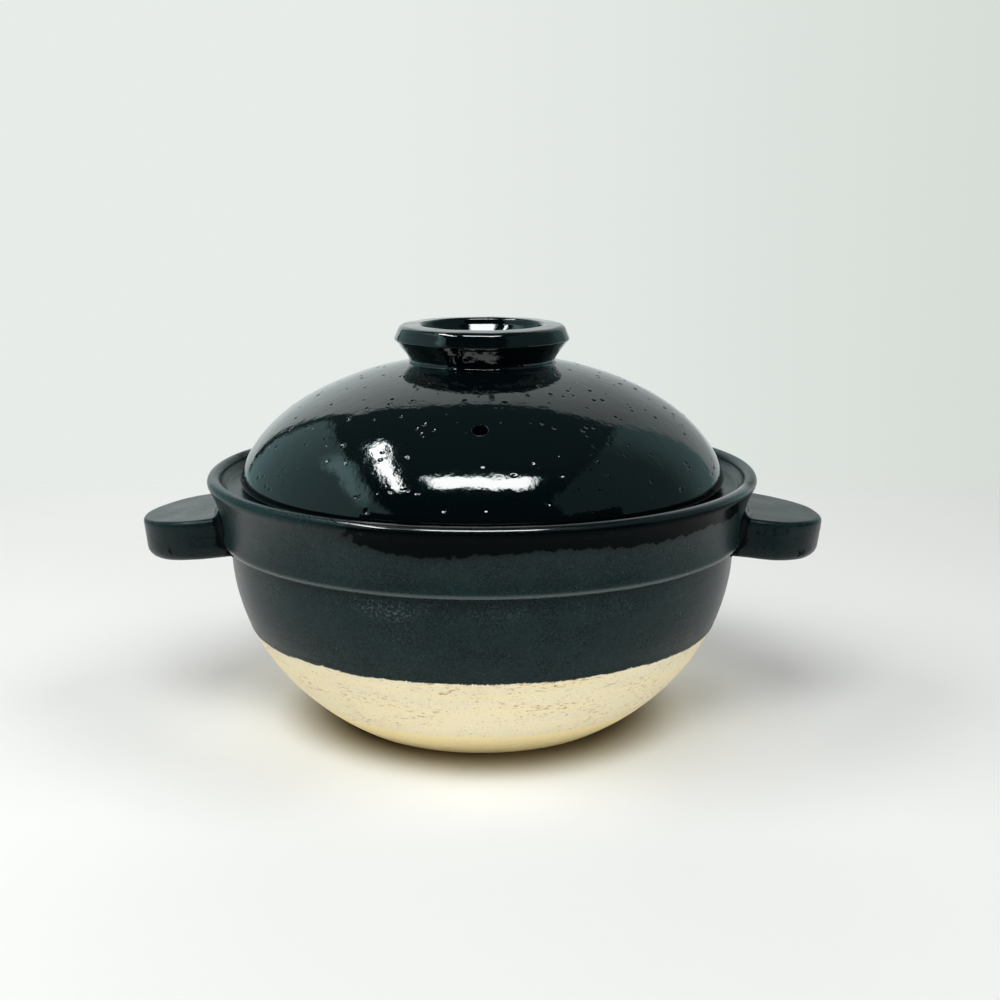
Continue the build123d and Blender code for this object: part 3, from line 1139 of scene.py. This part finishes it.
class CLAYPOT_OT_inner_lid(bpy.types.Operator):
    """Makes the flat inner lid with its two vents, and its button"""

    bl_idname = "clay_pot.inner_lid"
    bl_label = "Inner Lid"

    def execute(self, context):
        inner = context.scene.clay_pot_inner
        material = bpy.data.materials["satin_glaze_over_clay"]
        crown = inner.base + inner.thickness + inner.crown
        ball = (inner.radius**2 + inner.crown**2) / (2 * inner.crown)

        outline = Outline(0, crown)
        outline.arc(0, crown - ball, -asin(inner.radius / ball), 24)
        outline.round(inner.edge_round)
        outline.line(inner.radius, inner.base, inner.edge_round)
        outline.line(0, inner.base)
        mesh = outline.turned(steps=192, row=3 * MM)
        low = inner.base + 3 * MM
        waver(mesh, 0.12 * MM, 30 * MM, 11.0, wanted=lambda point: point.z > low)
        set_glaze(mesh)
        made = make_piece(
            "flat_inner_lid", mesh, "inner_lid", "inner_lid", material
        )
        for reach in (inner.vent_distance, -inner.vent_distance):
            top = crown - ball + sqrt(ball**2 - reach**2)
            place = Matrix.Translation((reach, 0, top))
            vent = trumpet(place, inner.vent_radius, inner.vent_round, above=5 * MM, below=18 * MM)
            bore(made, vent)

        outline = Outline(0, crown - 2 * MM)
        outline.line(inner.button_foot, crown - 2 * MM)
        outline.line(inner.button_foot, crown - 0.3 * MM)
        outline.line(inner.button_waist, crown + inner.waist_rise, 9 * MM)
        outline.line(inner.button_head, inner.button_top - 3.4 * MM, 2.2 * MM)
        outline.line(inner.button_head - 2.6 * MM, inner.button_top - 0.4 * MM, 2.4 * MM)
        outline.line(0, inner.button_top)
        mesh = outline.turned(steps=144, row=0.9 * MM)
        waver(mesh, depth=0.12 * MM, wavelength=9 * MM, shift=14.0)
        set_glaze(mesh)
        make_piece("lid_button", mesh, "inner_lid", "inner_lid_knob", material)
        return {"FINISHED"}


class CLAYPOT_OT_stage(bpy.types.Operator):
    """Sets the pale floor, the backdrop, the studio light and the camera"""

    bl_idname = "clay_pot.stage"
    bl_label = "Stage"

    def execute(self, context):
        scene = context.scene
        stage = scene.clay_pot_stage
        scene.view_settings.view_transform = "Standard"
        self.lay_floor(stage)
        scene.world = self.surround(stage)
        self.stand_screen()
        self.hang_lamp("overhead_lamp", stage.overhead, -15, 64)
        self.hang_lamp("camera_lamp", stage.camera_side, -12, 53)
        self.hang_lamp("left_lamp", stage.left, -75, 46)
        self.hang_lamp("right_lamp", stage.right, 75, 52)
        self.hang_lamp("back_lamp", stage.back, 180, 12)
        self.hang_lamp("front_lamp", stage.front, 15, 12)
        camera = bpy.data.objects.new("camera", bpy.data.cameras.new("camera"))
        camera.data.lens = stage.lens
        camera.data.sensor_width = 36
        camera.location = stage.camera_place
        camera.rotation_euler = (pi / 2 - stage.camera_dip, 0, 0)
        scene.collection.objects.link(camera)
        scene.camera = camera
        return {"FINISHED"}

    def lay_floor(self, stage):
        """A broad pale disc that fades into the backdrop, with a painted shadow round the pot's
        base and painted shade towards the right.
        """
        nodes = Nodes(bpy.data.materials.new("pale_floor"))
        place = nodes.place()
        across, away, _ = nodes.axes(place)
        reach = nodes.add("ShaderNodeVectorMath", {"operation": "LENGTH"}, {0: place}, 1)
        fade = nodes.between(away, 0.38, 0.56).larger(nodes.between(reach, 0.75, 0.95))
        # Painted shade: the floor is painted darker towards the right, where less light falls.
        shade = nodes.between(across, -0.4, 0.5)
        colour = nodes.mix(shade, rgb(stage.floor), rgb(stage.floor, 0.9))
        # Painted contact shadow round the base, warm as with bounce light from the clay.
        painted_contact_shadow = 0.95 * (1 - nodes.between(reach, 0.057, 0.096))
        colour = nodes.mix(painted_contact_shadow, colour, rgb((0.12, 0.08, 0.03)))
        # For diffuse rays the floor is paler and has neither painted shadow nor painted shade, so
        # it throws more bounce light onto the clay.
        colour = nodes.mix(nodes.ray("Is Diffuse Ray"), colour, rgb((0.98, 0.98, 0.96)))
        pale = nodes.add("ShaderNodeBsdfDiffuse", None, {"Color": colour})
        clear = nodes.add("ShaderNodeBsdfTransparent")
        both = nodes.add("ShaderNodeMixShader", None, {0: fade, 1: pale, 2: clear})
        mesh = bmesh.new()
        bmesh.ops.create_circle(mesh, cap_ends=True, segments=96, radius=1.0)
        add_object("floor", mesh, nodes.finish("ShaderNodeOutputMaterial", both))

    def surround(self, stage):
        """A plain backdrop for the camera, a room for reflections and even light for the rest."""
        nodes = Nodes(bpy.data.worlds.new("studio"))
        over, inside, blend = nodes.over, nodes.inside, nodes.blend
        x, y, z = nodes.axes(nodes.add("ShaderNodeTexCoord", None, None, 0))

        # The backdrop is painted darker on the right, as painted shade where less light falls.
        backdrop = nodes.mix(
            nodes.between(x, -0.12, 0.38), rgb(stage.wall_left), rgb(stage.wall_right)
        )
        backdrop = nodes.mix(nodes.between(-z, 0.27, 0.36), backdrop, rgb((0.9, 0.91, 0.895)))

        # The walls of the room, which end where the ceiling starts.
        wall_top = y * 1.35 - z - 0.7 * (-x - 0.15 * z).larger(0.0)
        back = over(wall_top, 0.03) * over(y * 0.82 - x, 0.02) * over(x + y * 0.6, 0.02)
        edge = abs(x) - 0.82 * z - 0.48 * (-y).larger(0.0)
        left = over(-x - abs(y) * 0.7, 0.03) * over(edge, 0.03)
        right = over(x - abs(y) * 0.78, 0.03) * over(abs(x) * 1.5 - z, 0.03)
        window = nodes.between(-x, 0.2, 0.4) * inside(edge, 0.03, 0.22, 0.07)
        window = window * inside(y, -0.42, 0.25, 0.12)

        # Two bright panels overhead, laid out on a plane one unit up.
        ahead = -y / (z + 0.001)
        aside = x / (z + 0.001)
        bent = aside + ahead * 0.2
        panels = nodes.between(z, 0.3, 0.32) * (
            inside(aside, -0.37, 0.36, 0.05) * inside(ahead, 0.39, 0.64, 0.04)
            + inside(bent, -0.655, -0.535, 0.03) * inside(ahead, -0.29, 0.63, 0.05)
        )

        ceiling = 0.02 + 0.07 * nodes.between(z + y * 0.5, 0.5, 0.95)
        far_right = blend(nodes.between(y - x * 0.25, 0.0, 0.45), 0.2, 0.4)
        room = blend(right, blend(left, ceiling, 0.56), far_right) + 1.3 * window
        room = blend(back, room, blend(nodes.between(x, -0.45, 0.45), 1.08, 0.62))
        room = blend(nodes.between(-z, -0.01, 0.02), room, 0.85) + stage.panel * panels
        whiteness = 0.8 * back + nodes.between(room, 2.5, 9.0)
        cast = nodes.mix(whiteness, rgb((0.62, 1.0, 1.02)), rgb((0.98, 1.0, 0.99)))

        camera = nodes.ray("Is Camera Ray")
        mirror = nodes.ray("Is Glossy Ray").larger(nodes.ray("Is Transmission Ray"))
        colour = nodes.mix(mirror, rgb((0.985, 1.0, 1.0)), cast)
        colour = nodes.mix(camera, colour, backdrop)
        strength = blend(camera, blend(mirror, stage.sky, room), 1.0)
        light = nodes.add("ShaderNodeBackground", None, {"Color": colour, "Strength": strength})
        return nodes.finish("ShaderNodeOutputWorld", light)

    def stand_screen(self):
        """A dark curved screen in front, which only the glaze's reflections see."""
        distance, height = 0.42, 0.24
        left, turn = radians(-50), radians(110)
        mesh = bmesh.new()
        foot = mesh.verts.new((0, -distance, 1 * MM))
        start = Matrix.Rotation(left, 3, "Z")
        bmesh.ops.rotate(mesh, cent=(0, 0, 0), matrix=start, verts=[foot])
        rise = bmesh.ops.extrude_vert_indiv(mesh, verts=[foot])
        bmesh.ops.translate(mesh, vec=(0, 0, height), verts=rise["verts"])
        spin(mesh, turn, steps=44, whole=False)
        nodes = Nodes(bpy.data.materials.new("dark_cloth"))
        cloth = nodes.add("ShaderNodeBsdfDiffuse", None, {"Color": rgb((0.01, 0.012, 0.012))})
        material = nodes.finish("ShaderNodeOutputMaterial", cloth)
        screen = add_object("dark_screen", mesh, material)
        for kind in ("camera", "diffuse", "shadow", "transmission", "volume_scatter"):
            setattr(screen, "visible_" + kind, False)

    def hang_lamp(self, name, power, turn, rise):
        """A soft square lamp, placed by its degrees to the right and above, that faces the pot."""
        size, distance = 0.7, 1.4
        middle_of_pot = Vector((0, 0, 0.08))
        lamp = bpy.data.lights.new(name, "AREA")
        lamp.energy = power
        lamp.size = size
        made = bpy.data.objects.new(name, lamp)
        way = Vector((0, -distance, 0))
        way.rotate(Matrix.Rotation(radians(-rise), 3, "X"))
        way.rotate(Matrix.Rotation(radians(turn), 3, "Z"))
        made.location = middle_of_pot + way
        made.rotation_euler = (-way).to_track_quat("-Z", "Y").to_euler()
        made.visible_glossy = False
        made.visible_camera = False
        bpy.context.scene.collection.objects.link(made)


OPERATORS = (
    CLAYPOT_OT_pot,
    CLAYPOT_OT_lugs,
    CLAYPOT_OT_outer_lid,
    CLAYPOT_OT_ring_knob,
    CLAYPOT_OT_inner_lid,
    CLAYPOT_OT_stage,
)
GROUPS = {
    "clay_pot_bowl": ClayPotBowl,
    "clay_pot_lugs": ClayPotLugs,
    "clay_pot_lid": ClayPotLid,
    "clay_pot_knob": ClayPotKnob,
    "clay_pot_inner": ClayPotInnerLid,
    "clay_pot_finish": ClayPotFinish,
    "clay_pot_stage": ClayPotStage,
}


class CLAYPOT_PT_panel(bpy.types.Panel):
    """Lists the pot's pieces"""

    bl_label = "Clay Pot"
    bl_idname = "CLAYPOT_PT_panel"
    bl_space_type = "VIEW_3D"
    bl_region_type = "UI"
    bl_category = "Clay Pot"

    def draw(self, context):
        for operator in OPERATORS:
            self.layout.operator(operator.bl_idname)


def register():
    """Adds the settings, the operators and the panel."""
    for name, group in GROUPS.items():
        bpy.utils.register_class(group)
        setattr(bpy.types.Scene, name, bpy.props.PointerProperty(type=group))
    for kind in (*OPERATORS, CLAYPOT_PT_panel):
        bpy.utils.register_class(kind)


def unregister():
    """Takes them away again."""
    for kind in (CLAYPOT_PT_panel, *reversed(OPERATORS)):
        bpy.utils.unregister_class(kind)
    for name, group in reversed(GROUPS.items()):
        delattr(bpy.types.Scene, name)
        bpy.utils.unregister_class(group)


def main():
    """Makes the pot piece by piece."""
    register()
    bpy.ops.clay_pot.pot()
    bpy.ops.clay_pot.lugs()
    bpy.ops.clay_pot.outer_lid()
    bpy.ops.clay_pot.ring_knob()
    bpy.ops.clay_pot.inner_lid()
    bpy.ops.clay_pot.stage()


if __name__ == "__main__":
    main()
